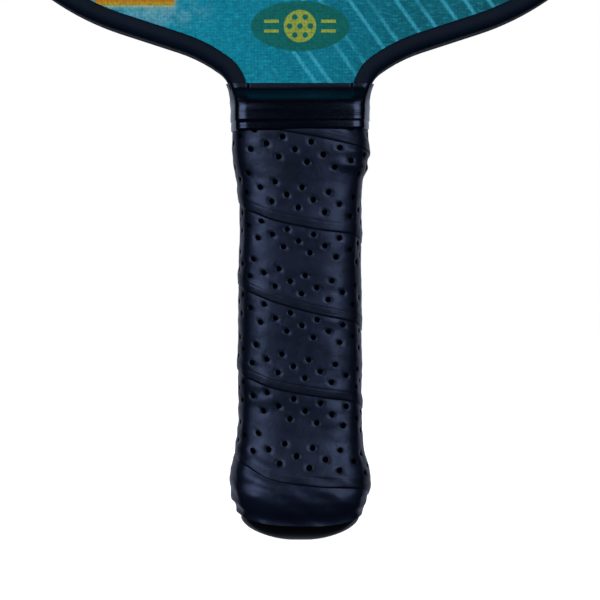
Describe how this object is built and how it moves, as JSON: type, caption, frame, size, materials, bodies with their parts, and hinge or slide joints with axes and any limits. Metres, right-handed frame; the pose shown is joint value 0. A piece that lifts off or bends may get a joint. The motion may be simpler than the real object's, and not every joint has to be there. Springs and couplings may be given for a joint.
{
  "type": "pickleball paddle",
  "caption": "Pickleball paddle with a flat honeycomb-cored head in a moulded edge guard and a flared, spirally wrapped handle ending in a domed butt cap.",
  "frame": {"origin": "centre of the butt cap's flat end, the lowest point of the paddle standing on its handle", "axes": "+Z along the handle to the tip of the head, -Y out of the front face, +X to the right seen from the front"},
  "size_m": [0.203, 0.0322, 0.397],
  "materials": {
    "core_plastic": "milky polypropylene honeycomb",
    "skin_laminate": "satin fibre laminate",
    "printed_film": "satin teal print with a fine weave texture",
    "guard_plastic": "satin near-black moulded plastic",
    "strip_foam": "white acrylic foam tape",
    "pallet_foam": "dark rigid foam",
    "cap_plastic": "black moulded plastic",
    "staple_steel": "plain steel wire",
    "grip_cushion": "perforated synthetic leather, satin",
    "tape_vinyl": "glossy stretched vinyl tape"
  },
  "bodies": {
    "root": {"honeycomb_core": "core_plastic", "front_skin": "skin_laminate", "rear_skin": "skin_laminate", "front_print_film": "printed_film", "rear_print_film": "printed_film", "edge_guard": "guard_plastic", "guard_adhesive_strip": "strip_foam", "handle_pallet_front": "pallet_foam", "handle_pallet_rear": "pallet_foam", "butt_cap": "cap_plastic", "cap_staple_front": "staple_steel", "cap_staple_rear": "staple_steel", "grip_wrap": "grip_cushion", "finishing_tape": "tape_vinyl"}
  },
  "joints": []
}
